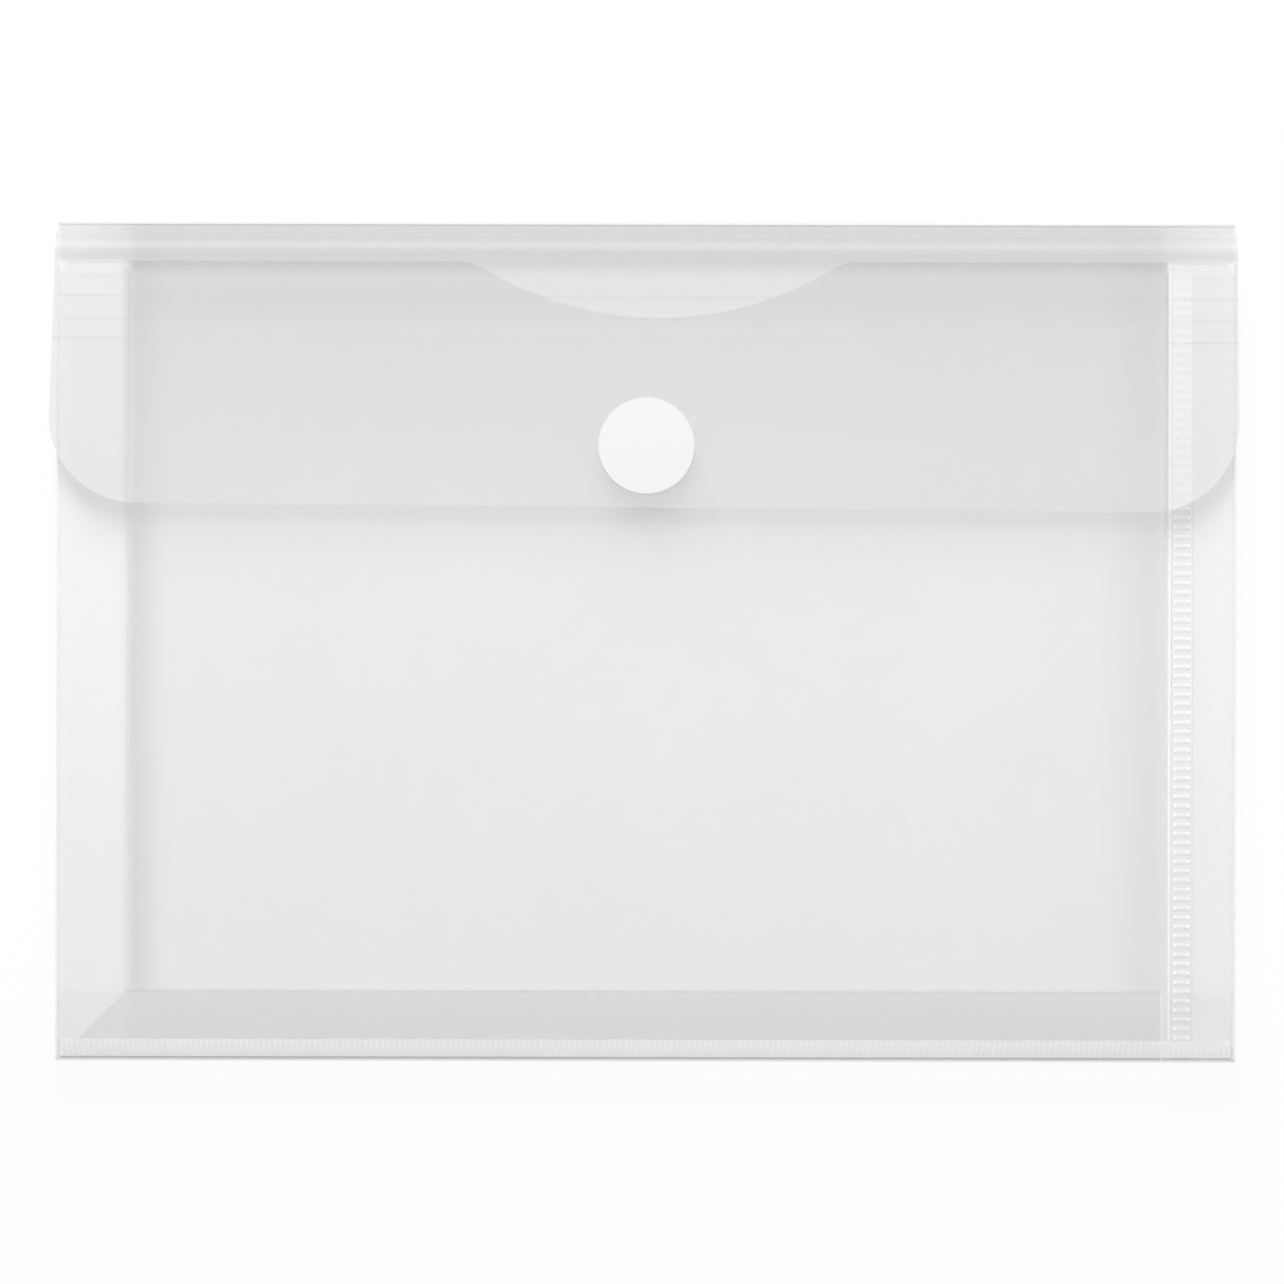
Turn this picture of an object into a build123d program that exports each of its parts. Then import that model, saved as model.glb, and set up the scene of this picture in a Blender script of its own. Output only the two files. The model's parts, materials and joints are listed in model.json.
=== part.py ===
from build123d import *
import os
from math import cos, degrees, radians, sin, sqrt

# Document wallet of creased film, lying on its back panel with its front facing up.
# X runs across the width, Y runs towards the top fold, Z is up. Millimetres.
# The origin is the middle of the footprint, on the surface that the wallet lies on.

# Film and folds
film = 0.3  # thickness of every panel
fold_radius = 0.45  # outside radius of a hairpin fold
fold_clearance = 0.17  # room between a fold's bead and the next panel

# Body
body_width = 250.0
body_height = 178.0
mouth_drop = 8.5  # the front's top edge lies this far below the top fold
mouth_corner = 2.2  # rounding of the pleats' top corners

# Pleats: each leaf turns about a fold on a panel, and two leaves make one side of the gusset
leaf_width = 14.5  # from fold axis to fold axis
pleat_angle = 9.0  # how far the leaves stand open at rest, in degrees
mitre_gap = 0.25  # half of the room along the corner mitre
square_gap = 0.4  # room where the bottom pleat ends at the welded side

# Thumb notch in the front's top edge
notch_width = 78.4
notch_depth = 11.9
notch_offset = 2.5
notch_edge = 4.0  # rounding where the notch meets the top edge

# Flap, measured from the top fold in plan
flap_length = 60.6
flap_flare = 1.0  # the flap grows this much wider on each side
flare_length = 41.0  # and is at its widest from here down
flap_corner = 18.5
shoulder_angle = 65.0  # how steeply the film rises from the top fold, in degrees
shoulder_radius = 4.0  # of the arch from the rise to the level stretch
upper_crease = 16.1
lower_crease = 25.2
crease_radius = 0.22
crease_clearance = 0.15

# Hook and loop coins
coin_diameter = 20.4
coin_centre = 47.5  # below the top fold
adhesive = 0.1
coin_backing = 0.3
loop_pile = 0.65
pile_edge = 0.3
hook_height = 0.6
hook_stem = 0.3
hook_reach = 0.25  # how far a hook's tip overhangs its stem
hook_width = 0.35
hook_pitch_x = 1.6
hook_pitch_y = 1.4
hook_margin = 0.7  # bare rim of the hook coin
coin_gap = 0.35  # room between the hook tips and the pile

# Welded tabs
side_tab_width = 4.2
rung_pitch = 2.0
rung_length = 2.9
rung_width = 0.9
rung_height = 0.12
bottom_tab_width = 3.6
bottom_tab = 0.2  # thickness of the bottom tab
bottom_tab_edge = 1.0  # from the bottom fold's outside to the tab
bar_pitch = 1.2
bar_length = 2.9
bar_width = 0.55
bar_height = 0.12

# Places that follow from the sizes above
axis_x = -body_width / 2 + fold_radius  # left folds
axis_y = -body_height / 2 + fold_radius  # bottom folds
fold_y = body_height / 2 - fold_radius  # top fold
mouth_y = body_height / 2 - mouth_drop
hairpin = 2 * fold_radius - film  # step from one fold's axis to the next across a leaf
panel_start = sqrt(fold_radius**2 - (fold_radius - film) ** 2) + fold_clearance
angle = radians(pleat_angle)
pleat_rise = 2 * leaf_width * sin(angle) + 2 * hairpin * cos(angle)
rear_axis_z = fold_radius
front_axis_z = rear_axis_z + pleat_rise
middle_z = (rear_axis_z + front_axis_z) / 2
front_top = front_axis_z + fold_radius
front_under = front_top - film
mitre_plane = Plane(origin=(axis_x, axis_y, 0), z_dir=(1, -1, 0))
middle_plane = Plane.XY.offset(middle_z)


def rod(radius, start, end):
    """Round bar from start to end, with rounded ends left off."""
    run = Vector(*end) - Vector(*start)
    return Solid.make_cylinder(radius, run.length, Plane(origin=start, z_dir=run))


def block(low, high):
    """Box between two corners."""
    size = [b - a for a, b in zip(low, high)]
    return Pos(*low) * Box(*size, align=Align.MIN)


def save(name, shape):
    """Writes one node and says how many solids it holds."""
    export_step(shape, f"parts/{name}.step")
    print(name, len(shape.solids()), "solids", round(sum(s.volume for s in shape.solids()), 2), "mm3")


# Leaves of the pleats. In a leaf's own frame X runs from its outer fold to its inner fold,
# Y along the fold and Z away from the panel that it folds onto.
def leaf_sheet(inner, length, mitred, rounded):
    """Flat strip of one leaf, from its outer fold to inner, with its lower end mitred or square."""
    low_outer = panel_start + mitre_gap if mitred else panel_start
    low_inner = inner + mitre_gap if mitred else panel_start
    outline = Polygon(
        (panel_start, low_outer), (inner, low_inner), (inner, length), (panel_start, length), align=None
    )
    if rounded:
        corners = [v for v in outline.vertices() if v.Y > length - film]
        outline = fillet(corners, mouth_corner)
    return Pos(0, 0, fold_radius - film) * extrude(outline, amount=film)


def rear_leaf(length, mitred, rounded):
    """Leaf on the back panel's side, which carries the bead of the inner fold."""
    start = leaf_width + fold_radius + mitre_gap if mitred else panel_start
    end = length - mouth_corner if rounded else length
    bead = rod(fold_radius, (leaf_width, start, hairpin), (leaf_width, end, hairpin))
    return leaf_sheet(leaf_width, length, mitred, rounded) + bead


def front_leaf(length, mitred, rounded):
    """Leaf on the front panel's side, clear of the beads at both of its folds."""
    return leaf_sheet(leaf_width - panel_start, length, mitred, rounded)


def on_left(leaf):
    """Tilts a leaf to its rest angle at the left fold of the back panel."""
    return Pos(axis_x, axis_y, rear_axis_z) * Rot(0, -pleat_angle, 0) * leaf


side_length = mouth_y - axis_y
bottom_length = body_width - 3 * fold_radius - leaf_width - square_gap

left_rear_leaf = on_left(rear_leaf(side_length, True, True))
left_front_leaf = mirror(on_left(front_leaf(side_length, True, True)), middle_plane)
right_rear_leaf = mirror(on_left(rear_leaf(side_length, False, True)), Plane.YZ)
right_front_leaf = mirror(mirror(on_left(front_leaf(side_length, False, True)), middle_plane), Plane.YZ)
bottom_rear_leaf = mirror(on_left(rear_leaf(bottom_length, True, False)), mitre_plane)
bottom_front_leaf = mirror(mirror(on_left(front_leaf(bottom_length, True, False)), middle_plane), mitre_plane)


# Back and front panels, each with the beads of its three pleat folds rolled along its edges
def edge_beads(z):
    """Beads along the left, bottom and right edges of a panel, with round corners."""
    left = rod(fold_radius, (axis_x, axis_y, z), (axis_x, mouth_y, z))
    bottom = rod(fold_radius, (axis_x, axis_y, z), (-axis_x, axis_y, z))
    corner = Pos(axis_x, axis_y, z) * Sphere(fold_radius)
    return [left, mirror(left, Plane.YZ), bottom, corner, mirror(corner, Plane.YZ)]


back_panel = block((axis_x, axis_y, 0), (-axis_x, mouth_y, film))
back_panel += block((-body_width / 2, mouth_y, 0), (body_width / 2, fold_y - panel_start, film))
back_panel += edge_beads(rear_axis_z)

notch_radius = (notch_width**2 / 4 + notch_depth**2) / (2 * notch_depth)
front_outline = Pos(0, (axis_y + mouth_y) / 2) * Rectangle(-2 * axis_x, mouth_y - axis_y)
front_outline -= Pos(notch_offset, mouth_y + notch_radius - notch_depth) * Circle(notch_radius)
notch_ends = [
    v for v in front_outline.vertices()
    if v.Y > mouth_y - film and abs(v.X - notch_offset) < notch_width / 2 + film
]
front_outline = fillet(notch_ends, notch_edge)
front_panel = Pos(0, 0, front_under) * extrude(front_outline, amount=film)
front_panel += edge_beads(front_axis_z)


# Welded tabs, each embossed with the marks of the welding bar
def weld_marks(first, last, pitch):
    """Evenly spaced places from first to last, centred between them."""
    count = int((last - first) // pitch) + 1
    start = (first + last - (count - 1) * pitch) / 2
    return [start + i * pitch for i in range(count)]


def side_tab():
    """Tab lapped on the right front leaf beside the inner fold, with rungs across it."""
    inner = leaf_width - panel_start
    outer = inner - side_tab_width
    end = side_length - mouth_corner
    z = fold_radius - film
    middle = (inner + outer) / 2
    tab = block((outer, panel_start, z - film), (inner, end, z))
    rungs = []
    for y in weld_marks(panel_start + rung_width, end - rung_width, rung_pitch):
        low = (middle - rung_length / 2, y - rung_width / 2, z - film - rung_height)
        rungs.append(block(low, (middle + rung_length / 2, y + rung_width / 2, z - film)))
    return tab.fuse(*rungs)


right_weld_tab = mirror(mirror(on_left(side_tab()), middle_plane), Plane.YZ)

tab_low = -body_height / 2 + bottom_tab_edge
tab_end = -axis_x - fold_radius
bar_middle = tab_low + bottom_tab_width / 2
bars = []
for x in weld_marks(-tab_end + bar_width, tab_end - bar_width, bar_pitch):
    low = (x - bar_width / 2, bar_middle - bar_length / 2, front_top + bottom_tab)
    high = (x + bar_width / 2, bar_middle + bar_length / 2, front_top + bottom_tab + bar_height)
    bars.append(block(low, high))
tab_strip = block(
    (-tab_end, tab_low, front_top), (tab_end, tab_low + bottom_tab_width, front_top + bottom_tab)
)
bottom_weld_tab = tab_strip.fuse(*bars)

# Coins, stacked from the front panel up to the tongue
coin_y = body_height / 2 - coin_centre
coin_radius = coin_diameter / 2


def disc(z, thickness):
    """One round layer of a coin."""
    return Pos(0, coin_y, z) * Cylinder(coin_radius, thickness, align=(Align.CENTER, Align.CENTER, Align.MIN))


loop_adhesive = disc(front_top, adhesive)
loop_backing_z = front_top + adhesive
loop_backing = disc(loop_backing_z, coin_backing)
pile_z = loop_backing_z + coin_backing
pile = disc(pile_z, loop_pile)
pile = chamfer(pile.edges().filter_by(GeomType.CIRCLE).sort_by(Axis.Z)[-1], pile_edge)

hook_tip_z = pile_z + loop_pile + coin_gap
hook_base_z = hook_tip_z + hook_height
hook_adhesive_z = hook_base_z + coin_backing
tongue_under = hook_adhesive_z + adhesive
hook_adhesive = disc(hook_adhesive_z, adhesive)


def hook(x, y):
    """One moulded hook that hangs from the coin and bends over to one side at its tip."""
    half = hook_height / 2
    profile = Polygon(
        (0, 0), (hook_stem, 0), (hook_stem, -half), (hook_stem + hook_reach, -half),
        (hook_stem + hook_reach, -hook_height), (0, -hook_height), align=None,
    )
    body = extrude(Plane.XZ * profile, amount=hook_width)
    return Pos(x - hook_stem / 2, y + hook_width / 2, hook_base_z) * body


hooks = []
reach = coin_radius - hook_margin
for y in weld_marks(-reach, reach, hook_pitch_y):
    half_row = sqrt(max(reach**2 - y**2, 0)) - hook_reach
    if half_row < hook_pitch_x:
        continue
    for x in weld_marks(-half_row, half_row, hook_pitch_x):
        hooks.append(hook(x, coin_y + y))
hook_disc = disc(hook_base_z, coin_backing).fuse(*hooks)

# Flap: the top fold with the film that rises from it to a bend line, a shoulder that arches over the
# mouth, a band between the two creases, and the tongue. All are cut to one outline in plan.
half_width = body_width / 2
flap_end = body_height / 2 - flap_length
flap_outline = Polygon(
    (-half_width, body_height / 2), (-half_width - flap_flare, body_height / 2 - flare_length),
    (-half_width - flap_flare, flap_end), (half_width + flap_flare, flap_end),
    (half_width + flap_flare, body_height / 2 - flare_length), (half_width, body_height / 2), align=None,
)
corner = min(flap_corner, flap_length - flare_length - film)  # rounded on the straight part of the side
flap_outline = fillet([v for v in flap_outline.vertices() if v.Y < flap_end + film], corner)
flap_prism = extrude(flap_outline, amount=2 * tongue_under)
reach_x = half_width + flap_flare
after_crease = crease_radius + crease_clearance
tongue_middle = tongue_under + film / 2
upper_y = body_height / 2 - upper_crease
lower_y = body_height / 2 - lower_crease
steep = radians(shoulder_angle)
riser = (tongue_middle - rear_axis_z - shoulder_radius * (1 - cos(steep))) / sin(steep)
bend_y = fold_y - riser * cos(steep)
bend_z = rear_axis_z + riser * sin(steep)
arc_centre = (bend_y - shoulder_radius * sin(steep), tongue_middle - shoulder_radius)
arc_turn = shoulder_angle - degrees(after_crease / shoulder_radius)  # starts clear of the bend line's ridge


def across(section):
    """Carries a section in Y and Z across the flap and trims it to the flap's outline."""
    return extrude(Plane.YZ * section, amount=reach_x, both=True) & flap_prism


def crease_bead(y, z):
    """Ridge of a crease across the flap."""
    return rod(crease_radius, (-reach_x, y, z), (reach_x, y, z)) & flap_prism


def level_sheet(start_y, end_y):
    """Level stretch of the flap between two places along Y."""
    return block((-reach_x, end_y, tongue_under), (reach_x, start_y, tongue_under + film)) & flap_prism


def shoulder_side(offset):
    """One side of the shoulder's section, offset from its middle line: the arch and the level run to the crease."""
    arch = CenterArc(arc_centre, shoulder_radius + offset, 90 - arc_turn, arc_turn)
    return arch, Line(arch @ 1, (upper_y, tongue_middle + offset))


riser_middle = Pos((fold_y + bend_y) / 2, (rear_axis_z + bend_z) / 2)
riser_section = riser_middle * Rot(0, 0, 180 - shoulder_angle) * Rectangle(riser, film)
fold_bead = rod(fold_radius, (-half_width, fold_y, rear_axis_z), (half_width, fold_y, rear_axis_z))
flap_fold = across(riser_section) + fold_bead + crease_bead(bend_y, bend_z)

outer_arch, outer_level = shoulder_side(film / 2)
inner_arch, inner_level = shoulder_side(-film / 2)
section_ends = [Line(outer_arch @ 0, inner_arch @ 0), Line(outer_level @ 1, inner_level @ 1)]
shoulder_section = make_face([outer_arch, outer_level, inner_arch, inner_level] + section_ends)
flap_shoulder = across(shoulder_section) + crease_bead(upper_y, tongue_middle)
flap_band = level_sheet(upper_y - after_crease, lower_y) + crease_bead(lower_y, tongue_middle)
flap_tongue = level_sheet(lower_y - after_crease, flap_end)

os.makedirs("parts", exist_ok=True)
save("back_panel", back_panel)
save("left_rear_leaf", left_rear_leaf)
save("left_front_leaf", left_front_leaf)
save("right_rear_leaf", right_rear_leaf)
save("right_front_leaf", right_front_leaf)
save("right_weld_tab", right_weld_tab)
save("bottom_rear_leaf", bottom_rear_leaf)
save("bottom_front_leaf", bottom_front_leaf)
save("front_panel", front_panel)
save("bottom_weld_tab", bottom_weld_tab)
save("loop_adhesive", loop_adhesive)
save("loop_backing", loop_backing)
save("loop_pile", pile)
save("hook_disc", hook_disc)
save("hook_adhesive", hook_adhesive)
save("flap_fold", flap_fold)
save("flap_shoulder", flap_shoulder)
save("flap_band", flap_band)
save("flap_tongue", flap_tongue)
print("fold axes z", rear_axis_z, round(middle_z, 4), round(front_axis_z, 4))
print("front panel", round(front_under, 4), round(front_top, 4), "tongue", round(tongue_under, 4))
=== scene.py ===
import bpy
import json
import numpy as np
from math import radians
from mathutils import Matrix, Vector


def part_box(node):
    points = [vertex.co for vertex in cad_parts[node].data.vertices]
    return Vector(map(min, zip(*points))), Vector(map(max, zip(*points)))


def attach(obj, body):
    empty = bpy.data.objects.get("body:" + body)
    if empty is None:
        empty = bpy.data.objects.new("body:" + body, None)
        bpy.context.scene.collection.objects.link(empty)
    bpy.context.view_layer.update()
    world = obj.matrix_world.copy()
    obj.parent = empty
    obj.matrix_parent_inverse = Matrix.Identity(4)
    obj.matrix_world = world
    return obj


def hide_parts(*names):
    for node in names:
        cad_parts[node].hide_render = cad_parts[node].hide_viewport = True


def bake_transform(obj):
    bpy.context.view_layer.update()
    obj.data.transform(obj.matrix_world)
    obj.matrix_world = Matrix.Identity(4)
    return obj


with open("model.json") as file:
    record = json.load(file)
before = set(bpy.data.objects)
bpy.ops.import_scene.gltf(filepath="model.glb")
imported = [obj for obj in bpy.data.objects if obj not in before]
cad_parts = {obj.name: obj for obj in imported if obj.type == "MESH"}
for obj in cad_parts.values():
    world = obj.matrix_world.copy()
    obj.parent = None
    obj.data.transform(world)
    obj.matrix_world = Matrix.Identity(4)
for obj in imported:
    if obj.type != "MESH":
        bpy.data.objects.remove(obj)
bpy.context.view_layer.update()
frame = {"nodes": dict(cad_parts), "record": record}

# Metres throughout. X across the wallet, Y towards the top fold, Z out of the front.
mm = 0.001
joints = {j["name"]: j["pos_m"] for j in frame["record"]["behaviour"]["joints"]}
film = 0.3 * mm
rollRadius = 0.45 * mm  # outside of a hairpin fold
rollMiddle = rollRadius - film / 2
axisX = joints["gusset_open"][0]
axisY = joints["bottom_rear_fold"][1]
rearZ = joints["gusset_open"][2]
frontZ = joints["left_front_fold"][2]
innerX, _, middleZ = joints["left_inner_fold"]
innerY = axisY + (innerX - axisX)
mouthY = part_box("front_panel")[1][1]
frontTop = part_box("front_panel")[1][2]
foldY = joints["flap_open"][1]
bendY, bendZ = joints["flap_lift"][1:]
upperY, flapZ = joints["flap_upper_crease"][1:]
lowerY = joints["flap_lower_crease"][1]
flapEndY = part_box("flap_tongue")[0][1]
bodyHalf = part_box("back_panel")[1][0]
rng = np.random.default_rng(7)


# Mesh helpers

def putMesh(name, verts, quads, sharp=0.6):
    # verts (n, 3) and quads (m, 4) straight into a new mesh
    mesh = bpy.data.meshes.new(name)
    mesh.vertices.add(len(verts))
    mesh.vertices.foreach_set("co", np.ascontiguousarray(verts, np.float32).ravel())
    mesh.loops.add(quads.size)
    mesh.loops.foreach_set("vertex_index", np.ascontiguousarray(quads, np.int32).ravel())
    mesh.polygons.add(len(quads))
    mesh.polygons.foreach_set("loop_start", np.arange(0, quads.size, 4, dtype=np.int32))
    mesh.polygons.foreach_set("use_smooth", np.ones(len(quads), bool))
    mesh.update(calc_edges=True)
    mesh.validate()
    mesh.set_sharp_from_angle(angle=sharp)
    piece = bpy.data.objects.new(name, mesh)
    bpy.context.scene.collection.objects.link(piece)
    return piece


def gridQuads(rows, cols, wrap=False):
    # faces of a grid of rows x cols points, joined back to its first row when wrap is set
    index = np.arange(rows * cols).reshape(rows, cols)
    if wrap:
        index = np.vstack([index, index[:1]])
    return np.stack([index[:-1, :-1], index[1:, :-1], index[1:, 1:], index[:-1, 1:]], -1).reshape(-1, 4)


def sheetFaces(rows, cols):
    # faces of a closed sheet: a grid on top, the same grid turned over below it, and walls round the rim
    top = gridQuads(rows, cols)
    index = np.arange(rows * cols).reshape(rows, cols)
    rim = np.concatenate([index[:, 0], index[-1, 1:], index[-2::-1, -1], index[0, -2:0:-1]])
    after = np.roll(rim, -1)
    under = rows * cols
    walls = np.stack([rim, rim + under, after + under, after], -1)
    return np.concatenate([top, top[:, ::-1] + under, walls])


def sheetMesh(name, middle, thick=film):
    # closed sheet: the middle surface moved half its thickness along its normal, both ways
    normal = np.cross(np.gradient(middle, axis=0), np.gradient(middle, axis=1))
    normal *= thick / 2 / np.linalg.norm(normal, axis=-1, keepdims=True)
    verts = np.concatenate([(middle + normal).reshape(-1, 3), (middle - normal).reshape(-1, 3)])
    return putMesh(name, verts, sheetFaces(*middle.shape[:2]))


def turnedBody(start, along, place, size, sides, halved=False):
    # body of revolution: rings of radius size at distance place along a straight axis, with both ends closed;
    # a halved one is flat on the right of its way, seen from above
    along = np.array(along, float)
    side = np.cross(along, (1, 0, 0) if abs(along[2]) > 0.9 else (0, 0, 1))
    side /= np.linalg.norm(side)
    up = np.cross(side, along)
    turn = np.linspace(0, 2 * np.pi, sides, endpoint=False)
    if halved:
        turn = np.linspace(0.5 * np.pi, 1.5 * np.pi, sides)
    ring = np.cos(turn)[:, None, None] * side + np.sin(turn)[:, None, None] * up
    verts = np.array(start, float) + place[None, :, None] * along + ring * size[None, :, None]
    index = np.arange(sides * len(place)).reshape(sides, len(place))
    a = np.arange(sides // 2 - 1)
    low = np.stack([index[a, 0], index[a + 1, 0], index[-2 - a, 0], index[-1 - a, 0]], -1)
    high = np.stack([index[a, -1], index[-1 - a, -1], index[-2 - a, -1], index[a + 1, -1]], -1)
    return verts, np.concatenate([gridQuads(sides, len(place), wrap=True)[:, ::-1], low, high])


def tubeMesh(name, start, end, radius, sides=14, steps=60, halved=False):
    # round bar from start to end with domed ends: the radius falls as a quarter circle at each end
    start, end = np.array(start, float), np.array(end, float)
    length = np.linalg.norm(end - start)
    dome = np.linspace(0.12, 1, 5) * np.pi / 2
    middle = np.linspace(0, length, steps)[1:-1]
    place = np.concatenate([-radius * np.cos(dome), middle, length + radius * np.cos(dome[::-1])])
    size = np.concatenate([radius * np.sin(dome), np.full(steps - 2, radius), radius * np.sin(dome[::-1])])
    verts, quads = turnedBody(start, (end - start) / length, place, size, sides, halved)
    return putMesh(name, verts.reshape(-1, 3), quads, sharp=1.2)


def pillows(centres, across, along, height, sink):
    # small closed pillows, all at once: a top h(1 - u^4)(1 - v^4) over a rectangle, on a flat base
    # that is sunk a little
    u = np.array([-1, -0.6, 0.6, 1])
    a, b = (side[..., None] for side in np.meshgrid(u, u, indexing="ij"))
    base = centres[:, None, None, :] + a * across + b * along
    top = base + height * (1 - a**4) * (1 - b**4) * np.array([0, 0, 1])
    verts = np.stack([top, base - np.array([0, 0, sink])], 1).reshape(-1, 3)
    starts = np.arange(len(centres)) * 2 * u.size**2
    quads = sheetFaces(u.size, u.size)[None] + starts[:, None, None]
    return verts, quads.reshape(-1, 4)


def dress(piece, body, material, slotName, *nodes):
    # material, body, slot and the CAD nodes that the piece stands for; a piece that crosses a joint has a
    # tuple of both bodies and the points where its bend starts and ends, which are not read: such a piece is
    # only baked in place
    piece.data.materials.append(material)
    piece.visible_diffuse = slotName != "film"  # milky film passes stray light on to the layers below it
    if isinstance(body, str):
        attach(piece, body)
    else:
        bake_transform(piece)
    if nodes:
        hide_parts(*nodes)
    return piece


# Materials

class Wire:
    # a socket that can be written in sums and products
    def __init__(self, finish, socket):
        self.finish, self.socket = finish, socket

    def math(self, operation, a, b):
        return self.finish.node("ShaderNodeMath", {"operation": operation}, {0: a, 1: b})["Value"]

    def __add__(self, other):
        return self.math("ADD", self, other)

    def __sub__(self, other):
        return self.math("SUBTRACT", self, other)

    def __rsub__(self, other):
        return self.math("SUBTRACT", other, self)

    def __mul__(self, other):
        return self.math("MULTIPLY", self, other)

    __radd__ = __add__
    __rmul__ = __mul__


class Finish:
    # one material and its nodes
    def __init__(self, name, owner=None):
        self.data = owner or bpy.data.materials.new(name)
        self.data.use_nodes = True
        self.tree = self.data.node_tree
        self.tree.nodes.clear()

    def node(self, kind, settings, sockets):
        # settings come first, then each socket takes a Wire or a plain value
        made = self.tree.nodes.new(kind)
        for key, value in settings.items():
            setattr(made, key, value)
        for key, value in sockets.items():
            if isinstance(value, Wire):
                self.tree.links.new(value.socket, made.inputs[key])
            else:
                made.inputs[key].default_value = value
        return {out.name: Wire(self, out) for out in made.outputs if out.enabled}

    def mixColour(self, factor, a, b):
        return self.node("ShaderNodeMix", {"data_type": "RGBA"}, {0: factor, 6: a, 7: b})["Result"]

    def smooth(self, value, low, high):
        # 0 at low, 1 at high, eased between them
        return self.node("ShaderNodeMapRange", {"interpolation_type": "SMOOTHSTEP"},
                         {"Value": value, "From Min": low, "From Max": high})["Result"]

    def seen(self):
        # 1 for what the camera sees, straight or in a gloss
        path = self.node("ShaderNodeLightPath", {}, {})
        return path["Is Camera Ray"] + path["Is Glossy Ray"] + path["Is Transmission Ray"]

    def surface(self, shader, kind="ShaderNodeOutputMaterial"):
        self.node(kind, {}, {"Surface": shader})
        return self.data


def grey(level):
    return (level, level, level, 1)


# tones and widths of the panels' painted light and shade: whiter where the side pleats catch the light,
# painted shade over the hollows beside them and at the foot
panelTone = dict(strip=0.80, hollow=0.43, foot=0.64, footStrip=0.71, leftHollow=10 * mm, rightHollow=16 * mm,
                 rightFade=3 * mm, rightShare=0.5, edge=0.8 * mm, leftSoft=2.4 * mm, leftFull=1.6 * mm,
                 rightStart=0.3 * mm, rightFull=-0.4 * mm)
# tones of the flap's painted light and shade, greying towards the top fold and whiter over the side pleats
# and at the ends, and of the coin patch
flapTone = dict(top=0.25, shoulder=0.36, notch=0.58, band=0.655, strip=0.98, overhang=0.62, ends=0.20,
                coin=0.75, coinEdge=0.25 * mm, overhangFrom=1.2 * mm, endReach=24 * mm, stripSoft=0.9 * mm)
coinBox = [np.array(c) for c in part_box("hook_disc")]


def stripMask(f, x):
    # 1 over the side pleats, 0 between them, with the softer edge at the left
    left = f.smooth(x, innerX + panelTone["leftSoft"], innerX - panelTone["leftFull"])
    return left + f.smooth(x, -innerX - panelTone["rightStart"], -innerX - panelTone["rightFull"])


def coinPatch(f, x, y):
    # 1 where the hook coin is stuck to the film and no air lies between them
    centre = (coinBox[0] + coinBox[1]) / 2
    radius = (coinBox[1][0] - coinBox[0][0]) / 2
    dx, dy = x - centre[0], y - centre[1]
    far = f.node("ShaderNodeMath", {"operation": "SQRT"}, {0: dx * dx + dy * dy})["Value"]
    return f.smooth(far, radius + flapTone["coinEdge"], radius - flapTone["coinEdge"])


def panelLightAndShade(f, x, y, tone):
    # painted light and shade: the film is drawn whiter over the side pleats, where they catch the light, and
    # greyer, as painted shade, over the hollow beside them and at the foot
    right, soft, fade = -innerX, panelTone["edge"], panelTone["rightFade"]
    hollow = f.smooth(x, innerX + panelTone["leftHollow"], innerX)
    rightHollow = f.smooth(x, right - panelTone["rightHollow"], right - fade)
    rightHollow = rightHollow * f.smooth(x, right + soft, right - fade)
    strip = stripMask(f, x)
    tone = f.mixColour(hollow + panelTone["rightShare"] * rightHollow, tone, grey(panelTone["hollow"]))
    tone = f.mixColour(strip, tone, grey(panelTone["strip"]))
    foot = f.mixColour(strip, grey(panelTone["foot"]), grey(panelTone["footStrip"]))
    return f.mixColour(f.smooth(y, innerY + soft, innerY - soft), tone, foot)


def flapLightAndShade(f, x, y, tone):
    # painted light and shade: the film greys, as painted shade, towards the top fold, where it stands off
    # most, is drawn whiter over the side pleats, where they catch the light, and greyer again where it
    # overhangs the body
    tone = f.mixColour(f.smooth(y, flapEndY, lowerY), tone, grey(flapTone["band"]))
    tone = f.mixColour(f.smooth(y, lowerY, upperY), tone, grey(flapTone["notch"]))
    tone = f.mixColour(f.smooth(y, (upperY + mouthY) / 2, mouthY), tone, grey(flapTone["shoulder"]))
    tone = f.mixColour(f.smooth(y, mouthY, bendY), tone, grey(flapTone["top"]))
    away = f.node("ShaderNodeMath", {"operation": "ABSOLUTE"}, {0: x})["Value"]
    # painted highlight: whiter towards the flap's ends
    ends = flapTone["ends"] * f.smooth(away, bodyHalf - flapTone["endReach"], bodyHalf)
    tone = f.mixColour(ends, tone, grey(flapTone["strip"]))
    below = f.smooth(y, mouthY + flapTone["stripSoft"] / 2, mouthY - flapTone["stripSoft"])
    tone = f.mixColour(stripMask(f, x) * below, tone, grey(flapTone["strip"]))
    overhang = f.smooth(away, bodyHalf - flapTone["overhangFrom"], bodyHalf)
    return f.mixColour(overhang * below, tone, grey(flapTone["overhang"]))


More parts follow.
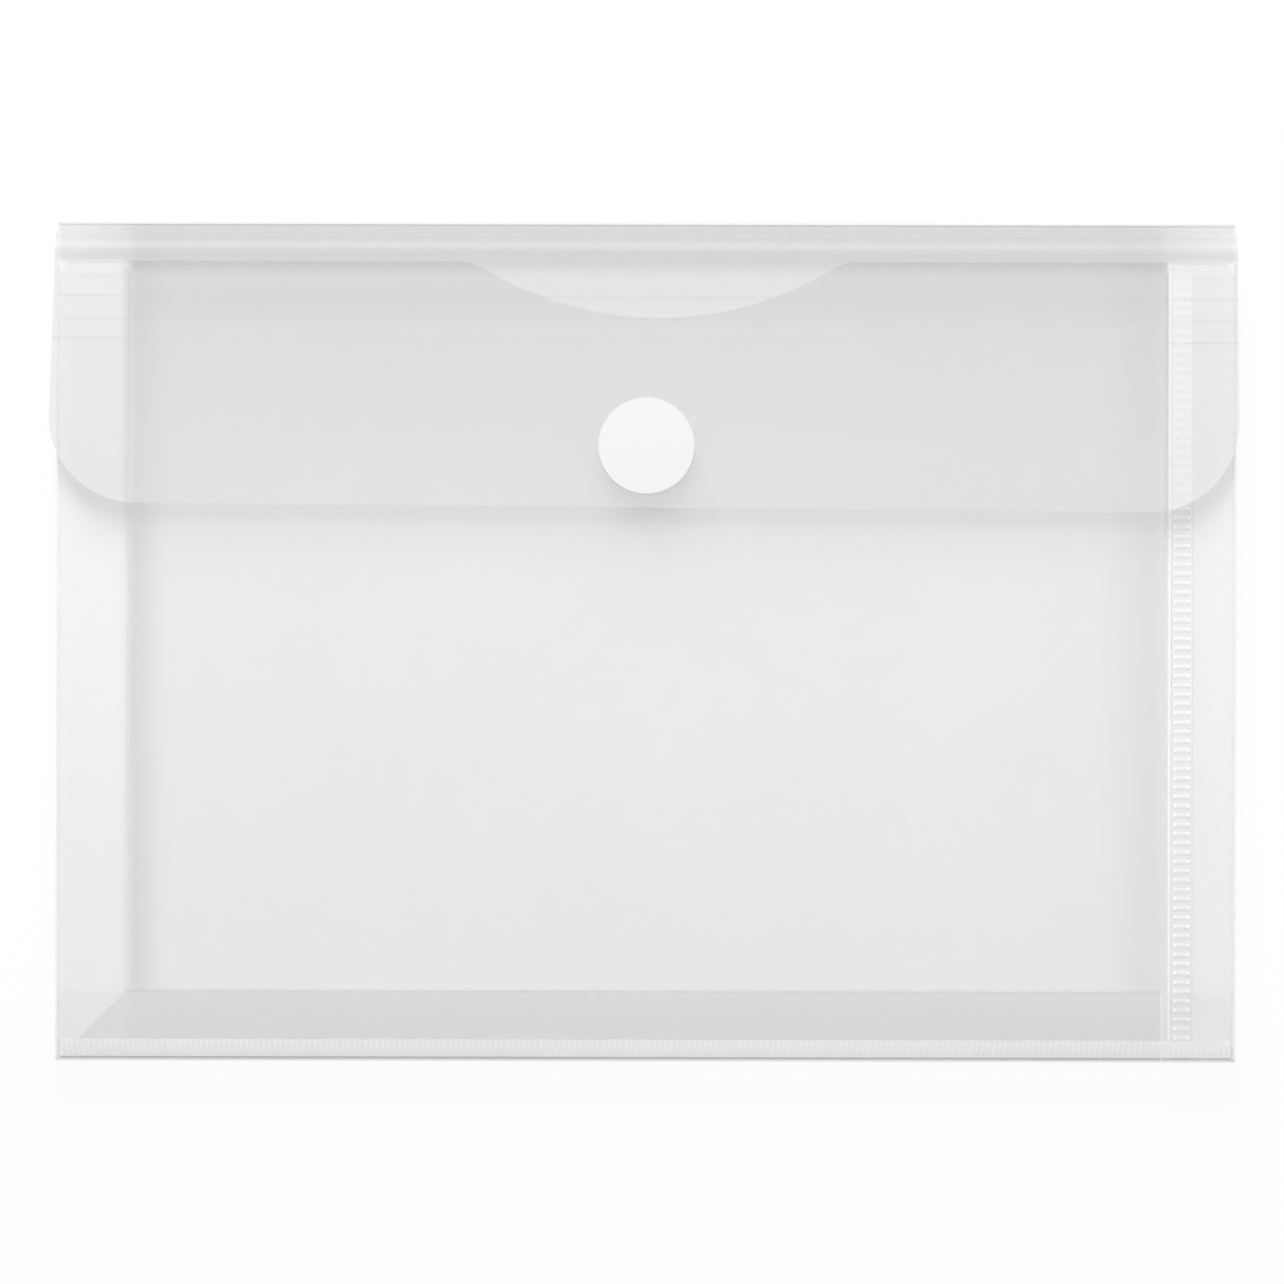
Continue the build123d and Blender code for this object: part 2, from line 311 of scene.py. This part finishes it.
filmGrain = dict(spread=0.16, strength=0.25, depth=0.00003)  # grain in the roughness and in the bump
satin = dict(rough=0.42, gloss=0.35, cloud=22.0, grain=2600.0)
glossy = dict(rough=0.34, gloss=0.5, cloud=60.0, grain=3200.0)
filmLooks = {
    "backFilm": dict(satin, dark=grey(0.62), pale=grey(0.68), alpha=0.15, tint=panelLightAndShade),
    "frontFilm": dict(satin, dark=grey(0.61), pale=grey(0.66), alpha=0.26, tint=panelLightAndShade),
    "flapFilm": dict(satin, dark=grey(0.71), pale=grey(0.76), alpha=0.26, tint=flapLightAndShade),
    "tongueFilm": dict(satin, dark=grey(0.71), pale=grey(0.76), alpha=0.26, tint=flapLightAndShade, stuckCoin=True),
    # painted shade: the round of the top fold is drawn dark against the key lamp's light on it
    "topFold": dict(satin, dark=grey(0.54), pale=grey(0.58), alpha=0.18),
    "creaseFilm": dict(satin, dark=grey(0.66), pale=grey(0.72), alpha=0.10),
    # painted light and shade: the side pleats' film is drawn much whiter where they catch the light, the foot
    # pleats' film greyer where they face away from it
    "pleatFilm": dict(satin, dark=grey(0.92), pale=grey(0.96), alpha=0.30),
    "footFilm": dict(satin, dark=grey(0.58), pale=grey(0.62), alpha=0.15),
    # painted shade: the round of the bottom inner fold is drawn dark to sink into the foot's painted shade
    "innerFold": dict(satin, dark=grey(0.56), pale=grey(0.60), alpha=0.2),
    "foldFilm": dict(glossy, dark=grey(0.96), pale=grey(0.99), alpha=0.7),
    "edgeFold": dict(glossy, dark=grey(0.96), pale=grey(0.99), alpha=0.25),
    "weldFilm": dict(glossy, dark=grey(0.90), pale=grey(0.94), alpha=0.6),
    "weldLine": dict(glossy, dark=grey(0.97), pale=grey(0.99), alpha=0.9),
    "footWeld": dict(glossy, dark=grey(0.89), pale=grey(0.93), alpha=0.6),
    "glueFilm": dict(satin, dark=grey(0.94), pale=grey(0.98), alpha=0.4),
}


def filmFinish(name, look):
    # satin film: pale milky tone with faint clouds, fine grain in the gloss, and what lies behind
    # showing through
    f = Finish(name)
    place = f.node("ShaderNodeTexCoord", {}, {})["Object"]
    split = f.node("ShaderNodeSeparateXYZ", {}, {"Vector": place})
    cloud = f.node("ShaderNodeTexNoise", {}, {"Vector": place, "Scale": look["cloud"], "Detail": 3.0})["Fac"]
    grain = f.node("ShaderNodeTexNoise", {}, {"Vector": place, "Scale": look["grain"], "Detail": 2.0})["Fac"]
    tone = f.mixColour(cloud, look["dark"], look["pale"])
    alpha = look["alpha"]
    # painted light and shade laid over the film's tone by place
    if "tint" in look:
        tone = look["tint"](f, split["X"], split["Y"], tone)
    if "stuckCoin" in look:
        patch = coinPatch(f, split["X"], split["Y"])
        tone = f.mixColour(patch, tone, grey(flapTone["coin"]))
        alpha = alpha + (1 - alpha) * patch
    height = f.node("ShaderNodeBump", {}, {
        "Height": grain, "Strength": filmGrain["strength"], "Distance": filmGrain["depth"]})["Normal"]
    rough = look["rough"] + filmGrain["spread"] * (grain - 0.5)
    shader = f.node("ShaderNodeBsdfPrincipled", {}, {
        "Base Color": tone, "Roughness": rough, "Alpha": alpha, "IOR": 1.49,
        "Specular IOR Level": look["gloss"], "Normal": height})["BSDF"]
    return f.surface(shader)


def coinFinish(name, look):
    # white coin: knitted or moulded tone broken up by fine noise, matt
    f = Finish(name)
    place = f.node("ShaderNodeTexCoord", {}, {})["Object"]
    weave = f.node("ShaderNodeTexNoise", {}, {"Vector": place, "Scale": look["weave"], "Detail": 4.0})["Fac"]
    tone = f.mixColour(weave, look["dark"], look["pale"])
    height = f.node("ShaderNodeBump", {}, {
        "Height": weave, "Strength": 0.5, "Distance": look["depth"]})["Normal"]
    shader = f.node("ShaderNodeBsdfPrincipled", {}, {
        "Base Color": tone, "Roughness": look["rough"] + 0.1 * weave, "Normal": height})["BSDF"]
    return f.surface(shader)


finishes = {name: filmFinish(name, look) for name, look in filmLooks.items()}
finishes["pileFibre"] = coinFinish(
    "pileFibre", dict(dark=grey(0.84), pale=grey(0.97), weave=900.0, depth=0.0002, rough=0.8))
finishes["hookPlastic"] = coinFinish(
    "hookPlastic", dict(dark=grey(0.88), pale=grey(0.95), weave=2500.0, depth=0.00003, rough=0.4))
print("materials made:", len(finishes))


# Back and front panels

panel = dict(across=90, up=64, wave=0.10 * mm, waveX=38, shiftX=0.6, waveY=31, shiftY=1.1)
notch = dict(width=78.4 * mm, depth=11.9 * mm, offset=2.5 * mm, ease=0.64 * mm, reach=1.25)


def notchDrop(x):
    # how far the top edge dips: a circle's arc, eased where it meets the straight edge
    half, deep = notch["width"] / 2, notch["depth"]
    radius = (half**2 + deep**2) / (2 * deep)
    away = np.abs(x - notch["offset"])
    arc = np.sqrt(np.maximum(radius**2 - away**2, 0)) - (radius - deep)
    return 0.5 * (arc + np.sqrt(arc**2 + notch["ease"] ** 2)) * (away < half * notch["reach"])


def panelGrid(topEdge, z, wave):
    # flat sheet between the side folds, whose top edge follows topEdge(x), with a faint slow wave across it
    u = np.linspace(0, 1, panel["across"])[:, None]
    v = np.linspace(0, 1, panel["up"])[None, :]
    x = axisX * (1 - 2 * u) + 0 * v
    y = axisY + v * (topEdge(x) - axisY)
    lift = wave * np.sin(x * panel["waveX"] + panel["shiftX"]) * np.sin(y * panel["waveY"] + panel["shiftY"])
    lift = lift * np.sin(np.pi * u) * np.sin(np.pi * v)
    return np.stack([x, y, z + lift], -1)


def backEdge(x):
    return foldY + 0 * x


def frontEdge(x):
    return mouthY - notchDrop(x)


backGrid = panelGrid(backEdge, film / 2, 0.0)
dress(sheetMesh("backSheet", backGrid), "back", finishes["backFilm"], "film", "back_panel")
frontGrid = panelGrid(frontEdge, frontTop - film / 2, panel["wave"])
frontSheet = dress(sheetMesh("frontSheet", frontGrid), "front", finishes["frontFilm"], "film", "front_panel")
frontSheet.visible_shadow = False  # the lamps light the pleats and welds through it

rollTop = mouthY - rollRadius
outerRolls = (("left", (axisX, axisY), (axisX, rollTop), "foldFilm"),
              ("right", (-axisX, rollTop), (-axisX, axisY), "foldFilm"),
              ("bottom", (-axisX, axisY), (axisX, axisY), "edgeFold"))
for body, z, word in (("back", rearZ, "rear"), ("front", frontZ, "front")):
    for side, start, end, material in outerRolls:
        roll = tubeMesh(f"{side}_{word}_roll", (*start, z), (*end, z), rollRadius, halved=True)
        dress(roll, body, finishes[material], "film")
print("panels made")


# Pleats

pleat = dict(across=14, along=90, bow=0.12 * mm, corner=2.2 * mm, gap=0.15 * mm, lean=0.6 * mm,
             mitre=0.32 * mm, mitreIn=3 * rollRadius, mitreDrop=1.3 * rollRadius, turnSteps=12,
             bend=0.9 * rollMiddle)
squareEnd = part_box("bottom_front_leaf")[1][0]


def leafGrid(outer, inner, low, high, mitred, rounded, lean=0.0):
    # strip from an outer fold to an inner fold, tangent to the roll at each, with a slight bow between them,
    # and wider towards its top by lean; gives places across, along and up
    run, rise = inner[0] - outer[0], inner[1] - outer[1]
    side = np.sign(rise)
    slope = np.arctan2(abs(rise), run) - np.arcsin(2 * rollMiddle / np.hypot(run, rise))
    width = np.sqrt(np.hypot(run, rise) ** 2 - (2 * rollMiddle) ** 2)
    s = np.linspace(0, 1, pleat["across"])[:, None] * width
    lift = rollMiddle + pleat["bow"] * np.sin(np.pi * s / width)
    w = outer[0] + s * np.cos(slope) - lift * np.sin(slope)
    z = outer[1] + side * (s * np.sin(slope) + lift * np.cos(slope))
    reach = np.minimum(np.minimum(s, width - s), pleat["corner"])
    cut = pleat["corner"] - np.sqrt(pleat["corner"] ** 2 - (pleat["corner"] - reach) ** 2)
    top = high - cut if rounded else high + 0 * s
    foot = low + s * np.cos(slope) + pleat["gap"] if mitred else low + 0 * s
    v = np.linspace(0, 1, pleat["along"])[None, :]
    return w + lean * (2 * v - 1) * s / width, foot + v * (top - foot), z + 0 * v


def leafPiece(side, word, grid, material):
    # u and v change places where that is what turns the sheet's upper face outwards
    if np.cross(grid[1, 0] - grid[0, 0], grid[0, 1] - grid[0, 0])[2] < 0:
        grid = grid.transpose(1, 0, 2)
    leaf = sheetMesh(f"{side}_{word}_pleat", grid)
    dress(leaf, f"{side}_{word}_leaf", finishes[material], "film", f"{side}_{word}_leaf")


def innerRoll(side, start, end, material):
    # round of an inner fold, past the ends of the two leaves, which rides with the rear leaf
    roll = tubeMesh(f"{side}_inner_roll", (*start, middleZ), (*end, middleZ), rollRadius, halved=True)
    dress(roll, f"{side}_rear_leaf", finishes[material], "film")


def leftPleat():
    # both left leaves as one film: the rear leaf, the round of the inner fold and the front leaf,
    # bent at the fold
    inner = (innerX, middleZ)
    rear, front = (np.stack(leafGrid((axisX, z), inner, axisY, mouthY, True, True, pleat["lean"]), -1)
                   for z in (rearZ, frontZ))
    middle, half = (rear[-1] + front[-1]) / 2, (front[-1] - rear[-1]) / 2
    turn = np.linspace(0, np.pi, pleat["turnSteps"])[1:-1, None, None]
    outward = np.array([1, 0, 0]) * np.linalg.norm(half, axis=-1, keepdims=True)
    foldRound = middle - np.cos(turn) * half + np.sin(turn) * outward
    sheet = sheetMesh("left_pleat", np.concatenate([rear, foldRound, front[::-1]]))
    ends = [(innerX, 0, middleZ + way * pleat["bend"]) for way in (-1, 1)]
    dress(sheet, ("left_rear_leaf", "left_front_leaf", *ends), finishes["pleatFilm"], "film",
          "left_rear_leaf", "left_front_leaf")


leftPleat()
for word, z in (("rear", rearZ), ("front", frontZ)):
    w, t, h = leafGrid((axisX, z), (innerX, middleZ), axisY, mouthY, False, True)
    leafPiece("right", word, np.stack([-w, t, h], -1), "pleatFilm")
    w, t, h = leafGrid((axisY, z), (innerY, middleZ), axisX, squareEnd, True, False)
    leafPiece("bottom", word, np.stack([t, w, h], -1), "footFilm")

pleatTop = mouthY - pleat["corner"]
innerRoll("right", (-innerX, axisY), (-innerX, pleatTop), "pleatFilm")
innerRoll("bottom", (innerX, innerY), (squareEnd, innerY), "innerFold")
mitreStart = (axisX + pleat["mitreIn"], axisY + pleat["mitreIn"], frontZ - pleat["mitreDrop"])
mitreEnd = (innerX - pleat["lean"], innerY, middleZ + rollRadius)
mitreLine = tubeMesh("left_mitre_line", mitreStart, mitreEnd, pleat["mitre"], sides=10)
dress(mitreLine, "left_front_leaf", finishes["pleatFilm"], "film")
print("pleats made")


# Welds

sideWeld = dict(pitch=1.97 * mm, length=2.9 * mm, width=0.95 * mm, height=0.14 * mm, dotLong=0.42 * mm,
                dotWide=0.28 * mm, dotHeight=0.22 * mm, dotOut=1.38 * mm, bead=0.3 * mm, beadIn=0.48 * mm,
                outward=0.8 * mm)
bottomWeld = dict(pitch=1.2 * mm, length=2.9 * mm, width=0.55 * mm, height=0.12 * mm)
sunk = 0.05 * mm  # how far the marks reach into the strip


def markMesh(name, groups, body, material):
    # several groups of pillows as one mesh
    starts = np.cumsum([0] + [len(verts) for verts, _ in groups[:-1]])
    verts = np.concatenate([verts for verts, _ in groups])
    quads = np.concatenate([quads + start for (_, quads), start in zip(groups, starts)])
    dress(putMesh(name, verts, quads), body, finishes[material], "film")


tabLow, tabHigh = (np.array(c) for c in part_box("right_weld_tab"))
tabSlope = (tabHigh[2] - tabLow[2] - film) / (tabHigh[0] - tabLow[0])
for corner in (tabLow, tabHigh):
    corner += sideWeld["outward"] * np.array([1, 0, tabSlope])
u = np.linspace(0, 1, 6)[:, None]
v = np.linspace(0, 1, 120)[None, :]
tabX = tabLow[0] + u * (tabHigh[0] - tabLow[0]) + 0 * v
tabY = tabLow[1] + v * (tabHigh[1] - tabLow[1]) + 0 * u
tabZ = tabLow[2] + film / 2 + u * (tabHigh[2] - tabLow[2] - film) + 0 * v
sideStrip = sheetMesh("side_weld", np.stack([tabX, tabY, tabZ], -1))
dress(sideStrip, "right_front_leaf", finishes["weldFilm"], "film", "right_weld_tab")

rungY = np.arange(tabLow[1] + sideWeld["pitch"], tabHigh[1] - sideWeld["pitch"] / 2, sideWeld["pitch"])
rungs = np.stack([0 * rungY + tabX.mean(), rungY, 0 * rungY + tabZ.mean() + film / 2], -1)
tabAcross = np.array([1, 0, tabSlope])
upward = np.array([0, 1, 0])
rungAcross, rungAlong = tabAcross * sideWeld["length"] / 2, upward * sideWeld["width"] / 2
rungGroup = pillows(rungs, rungAcross, rungAlong, sideWeld["height"], sunk)
markMesh("side_weld_rungs", [rungGroup], "right_front_leaf", "weldFilm")
dotAcross, dotAlong = tabAcross * sideWeld["dotWide"], upward * sideWeld["dotLong"]
dotRows = [rungs + way * sideWeld["dotOut"] * tabAcross for way in (-1, 1)]
dotGroups = [pillows(row, dotAcross, dotAlong, sideWeld["dotHeight"], sunk) for row in dotRows]
markMesh("side_weld_dots", dotGroups, "right_front_leaf", "weldLine")
# bead at the weld's inner edge, drawn near white: a painted highlight for the bright line along the inner
# fold
beadX, beadZ = tabLow[0] - sideWeld["beadIn"], tabLow[2] + film
bead = tubeMesh("side_weld_bead", (beadX, tabLow[1], beadZ), (beadX, tabHigh[1], beadZ), sideWeld["bead"])
dress(bead, "right_front_leaf", finishes["weldLine"], "film")

lowTab, highTab = (np.array(c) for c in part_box("bottom_weld_tab"))
stripX = lowTab[0] + np.linspace(0, 1, 200)[:, None] * (highTab[0] - lowTab[0]) + 0 * u.T
stripY = lowTab[1] + u.T * (highTab[1] - lowTab[1]) + 0 * stripX
stripZ = 0 * stripX + lowTab[2] + film / 2
bottomStrip = sheetMesh("bottom_weld", np.stack([stripX, stripY, stripZ], -1))
dress(bottomStrip, "front", finishes["footWeld"], "film", "bottom_weld_tab")

barX = np.arange(lowTab[0] + bottomWeld["pitch"], highTab[0] - bottomWeld["pitch"] / 2, bottomWeld["pitch"])
bars = np.stack([barX, 0 * barX + stripY.mean(), 0 * barX + lowTab[2] + film], -1)
rightward = np.array([1, 0, 0])
barAcross, barAlong = rightward * bottomWeld["width"] / 2, upward * bottomWeld["length"] / 2
barGroup = pillows(bars, barAcross, barAlong, bottomWeld["height"], sunk)
markMesh("bottom_weld_bars", [barGroup], "front", "footWeld")
print("welds made: rungs", len(rungY), "bars", len(barX))


# Flap

flap = dict(flare=1.0 * mm, flareLength=41.0 * mm, corner=18.5 * mm, skew=0.9 * mm, lean=0.7 * mm,
            wave=0.12 * mm, ridge=0.19 * mm, arch=4.0 * mm, across=110, bend=1.0 * mm)


def flapHalfAt(y):
    # half width of the flap: it flares below the top fold and is rounded at its lower corners
    wide = bodyHalf + flap["flare"] * np.clip((foldY - y) / flap["flareLength"], 0, 1)
    r = flap["corner"]
    up = np.clip(y - flapEndY, 0, r)
    return wide - r + np.sqrt(r**2 - (r - up) ** 2)


def flapGrid(y, z):
    # the flap's section carried across its width: x = u * half(y), sheared so that its right side
    # hangs a little lower and its lower end stands a little to the left
    u = np.linspace(-1, 1, flap["across"])[:, None]
    hang = (foldY - y[None, :]) / (foldY - flapEndY)
    x = u * flapHalfAt(y)[None, :]
    drop = flap["skew"] * (x / bodyHalf) * hang
    soft = flap["wave"] * np.sin(x * 27 + 0.4) * np.sin(np.pi * hang) * np.clip(hang - 0.3, 0, 1)
    return np.stack([x - flap["lean"] * hang, y[None, :] - drop, z[None, :] + soft], -1)


def flapPiece(name, y, z, bodies, turn, slope, nodes, material="flapFilm"):
    # sheet across the fold line at turn between two bodies; the points a short way before and after it go to
    # dress, which does not read them
    grid = flapGrid(y, z)[:, ::-1]
    way = flap["bend"] * np.array([0, -np.cos(slope), np.sin(slope)])
    middle = np.array([0, *turn])
    dress(sheetMesh(name, grid), (*bodies, middle - way, middle + way), finishes[material], "film", *nodes)


# the sheets meet on level film, half way between the fold lines
steep = np.arctan2(bendZ - rearZ, foldY - bendY)
rise = np.linspace(0.04, 1, 24)[:-1]  # from inside the round of the top fold
archTurn = np.linspace(steep, 0, 18)
archY = bendY - flap["arch"] * np.sin(steep) + flap["arch"] * np.sin(archTurn)
archZ = flapZ - flap["arch"] + flap["arch"] * np.cos(archTurn)
shoulderY, bandY = (archY[-1] + upperY) / 2, (upperY + lowerY) / 2
levelY = np.linspace(archY[-1], shoulderY, 8)[1:]
riserY = np.concatenate([foldY + rise * (bendY - foldY), archY, levelY])
riserZ = np.concatenate([rearZ + rise * (bendZ - rearZ), archZ, 0 * levelY + flapZ])
flapPiece("flap_riser_sheet", riserY, riserZ, ("flap_fold", "flap_shoulder"), (bendY, bendZ), steep,
          ("flap_fold", "flap_shoulder"))
creaseY = np.linspace(shoulderY, bandY, 40)
flapPiece("flap_band_sheet", creaseY, 0 * creaseY + flapZ, ("flap_shoulder", "flap_band"),
          (upperY, flapZ), 0.0, ("flap_band",))
cornerTurn = np.linspace(np.pi / 2, 0, 26)
tongueY = np.concatenate([np.linspace(bandY, 2 * lowerY - bandY, 40)[:-1],
                          np.linspace(2 * lowerY - bandY, flapEndY + flap["corner"], 14)[:-1],
                          flapEndY + flap["corner"] * (1 - np.cos(cornerTurn))])
flapPiece("flap_tongue_sheet", tongueY, 0 * tongueY + flapZ, ("flap_band", "flap_tongue"),
          (lowerY, flapZ), 0.0, ("flap_tongue",), "tongueFilm")


def ridgeLine(name, y, z, radius, body, material):
    # ridge of a fold or crease across the flap, following the flap's shear
    reach = flapHalfAt(np.array([y]))[0] - radius
    hang = (foldY - y) / (foldY - flapEndY)
    drop, left = flap["skew"] * hang * reach / bodyHalf, flap["lean"] * hang
    start, end = (-reach - left, y + drop, z), (reach - left, y - drop, z)
    ridge = tubeMesh(name, start, end, radius, sides=12, steps=90)
    dress(ridge, body, finishes[material], "film")


ridgeLine("top_roll", foldY, rearZ, rollRadius, "flap_fold", "topFold")
ridgeLine("bend_ridge", bendY, bendZ, film / 2, "flap_fold", "creaseFilm")
ridgeLine("upper_crease_ridge", upperY, flapZ, flap["ridge"], "flap_shoulder", "creaseFilm")
ridgeLine("lower_crease_ridge", lowerY, flapZ, flap["ridge"], "flap_band", "creaseFilm")
print("flap made")


# Coins

coin = dict(loops=420, loopHeight=0.34 * mm, loopWidth=0.55 * mm, loopThick=0.05 * mm, loopSides=4,
            loopSteps=7, loopReach=0.95, loopRise=0.85, ripple=0.05 * mm, rippleX=5200, rippleY=4700,
            sides=96)
pileLow, pileHigh = (np.array(c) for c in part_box("loop_pile"))
coinCentre = (pileLow + pileHigh) / 2
coinRadius = (pileHigh[0] - pileLow[0]) / 2


def pilePad():
    # low dome of matted pile on a flat base: height falls off at the rim as u^12, with a fine woven ripple
    u = np.linspace(0.995, 0.02, 40)
    deep = pileHigh[2] - pileLow[2] - coin["loopHeight"]
    place = np.concatenate([[0, 0], deep * (1 - u**12)])
    size = coinRadius * np.concatenate([[0.02, 1], u])
    base = (coinCentre[0], coinCentre[1], pileLow[2])
    verts, quads = turnedBody(base, (0, 0, 1), place, size, coin["sides"])
    top = verts[:, 2:]
    weave = np.sin(top[..., 0] * coin["rippleX"]) * np.sin(top[..., 1] * coin["rippleY"])
    top[..., 2] += coin["ripple"] * weave * (1 - u**6)
    return putMesh("loop_pad", verts.reshape(-1, 3), quads, sharp=1.0)


def pileLoops():
    # standing loops of fibre: half rings of a thin four-sided tube, each turned its own way, with closed feet
    count, thick, sides, steps = coin["loops"], coin["loopThick"], coin["loopSides"], coin["loopSteps"]
    away = coinRadius * coin["loopReach"] * np.sqrt(rng.random(count))
    bearing = rng.random(count) * 2 * np.pi
    face = rng.random(count) * np.pi
    size = (0.75 + 0.5 * rng.random(count))[:, None, None]
    arch = np.linspace(0, np.pi, steps)[None, None, :]
    ring = np.linspace(0, 2 * np.pi, sides, endpoint=False)[None, :, None]
    tall = coin["loopHeight"] * coin["loopRise"]
    out = (coin["loopWidth"] / 2 + thick * np.cos(ring)) * np.cos(arch) * size
    up = (tall + thick * np.cos(ring)) * np.sin(arch) * np.minimum(size, 1.0)
    across = thick * np.sin(ring) + 0 * out
    c, s = np.cos(face)[:, None, None], np.sin(face)[:, None, None]
    x = coinCentre[0] + (away * np.cos(bearing))[:, None, None] + out * c - across * s
    y = coinCentre[1] + (away * np.sin(bearing))[:, None, None] + out * s + across * c
    z = pileHigh[2] - coin["loopHeight"] + up
    index = np.arange(sides * steps).reshape(sides, steps)
    feet = np.stack([index[::-1, 0], index[:, -1]])
    loop = np.concatenate([gridQuads(sides, steps, wrap=True), feet])
    quads = (loop[None] + (np.arange(count) * index.size)[:, None, None]).reshape(-1, 4)
    return putMesh("loop_fibres", np.stack([x, y, z], -1).reshape(-1, 3), quads, sharp=3.0)


dress(pilePad(), "front", finishes["pileFibre"], "loop_pad", "loop_pile")
dress(pileLoops(), "front", finishes["pileFibre"], "loop_pad")
for node, material in (("hook_disc", "hookPlastic"), ("loop_backing", "pileFibre"),
                       ("hook_adhesive", "glueFilm"), ("loop_adhesive", "glueFilm")):
    mesh = frame["nodes"][node].data
    mesh.materials.clear()
    mesh.materials.append(finishes[material])
print("coins made")


# Floor, lights and camera

studio = dict(floorTone=0.9, floorHalf=3.0, floorDrop=0.02 * mm, seenWhite=0.92, sky=0.43,
              keyAt=(-0.1, 0.95, 0.55), keyPower=18.0, keySize=0.65,
              fillAt=(0.8, 0.1, 0.7), fillPower=1.0, fillSize=0.6)
view = dict(width=272.1 * mm, lens=300.0, sensor=36.0, x=-0.85 * mm, y=-0.1 * mm, roll=0.12)

floorVerts = studio["floorHalf"] * np.array([(-1, -1, 0), (1, -1, 0), (1, 1, 0), (-1, 1, 0)], float)
floorVerts[:, 2] = -studio["floorDrop"]
floor = putMesh("floor", floorVerts, np.array([[0, 1, 2, 3]]))
f = Finish("paperFloor")
plain = f.node("ShaderNodeBsdfDiffuse", {}, {"Color": grey(studio["floorTone"])})["BSDF"]
white = f.node("ShaderNodeEmission", {}, {"Color": grey(1.0), "Strength": 1.0})["Emission"]
mixed = f.node("ShaderNodeMixShader", {}, {0: f.seen() * studio["seenWhite"], 1: plain, 2: white})["Shader"]
floor.data.materials.append(f.surface(mixed))

world = bpy.data.worlds.new("softRoom")
bpy.context.scene.world = world
w = Finish("softRoom", world)
strength = studio["sky"] + (1 - studio["sky"]) * w.seen()
sky = w.node("ShaderNodeBackground", {}, {"Color": grey(1.0), "Strength": strength})["Background"]
w.surface(sky, "ShaderNodeOutputWorld")


def softBox(name, at, size, power):
    # square lamp that faces the middle of the wallet
    lamp = bpy.data.lights.new(name, "AREA")
    lamp.shape, lamp.size, lamp.energy = "SQUARE", size, power
    holder = bpy.data.objects.new(name, lamp)
    holder.location = at
    holder.rotation_euler = (-Vector(at)).to_track_quat("-Z", "Y").to_euler()
    bpy.context.scene.collection.objects.link(holder)


softBox("keyLamp", studio["keyAt"], studio["keySize"], studio["keyPower"])
softBox("fillLamp", studio["fillAt"], studio["fillSize"], studio["fillPower"])

camera = bpy.data.cameras.new("frontCamera")
camera.lens, camera.sensor_width = view["lens"], view["sensor"]
cameraObject = bpy.data.objects.new("frontCamera", camera)
cameraObject.location = (view["x"], view["y"], frontTop + view["width"] * view["lens"] / view["sensor"])
cameraObject.rotation_euler = (0, 0, radians(view["roll"]))
bpy.context.scene.collection.objects.link(cameraObject)
bpy.context.scene.camera = cameraObject
bpy.context.scene.view_settings.view_transform = "Standard"
